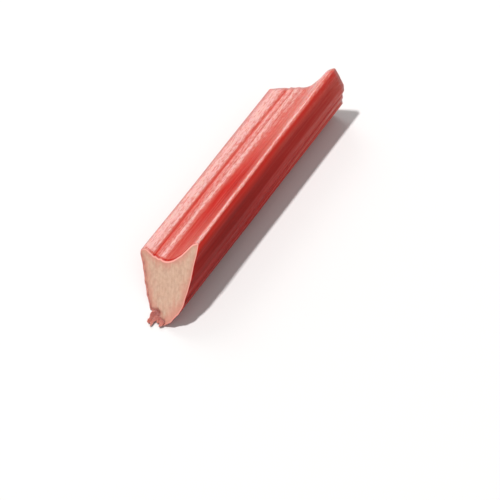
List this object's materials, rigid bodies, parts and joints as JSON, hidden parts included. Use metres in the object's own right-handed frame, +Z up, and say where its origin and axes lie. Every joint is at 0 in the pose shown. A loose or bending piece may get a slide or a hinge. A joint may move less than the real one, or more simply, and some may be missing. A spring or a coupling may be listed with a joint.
{
  "type": "rhubarb stalk",
  "caption": "Cut length of rhubarb stalk lying on its side, with a shallow channel, fine ribs and a slanting cut at each end.",
  "frame": {"origin": "bottom centre of the bounding box, on the surface that the stalk lies on", "axes": "+X along the stalk from the root-end cut to the leaf-end cut, +Z up"},
  "size_m": [0.1416, 0.032, 0.0303],
  "materials": {
    "skin": "waxy satin red skin, paler along the ridges",
    "flesh": "moist cream flesh with fibre ends on the cut faces"
  },
  "bodies": {
    "root": {"stalk": "skin"}
  },
  "joints": []
}
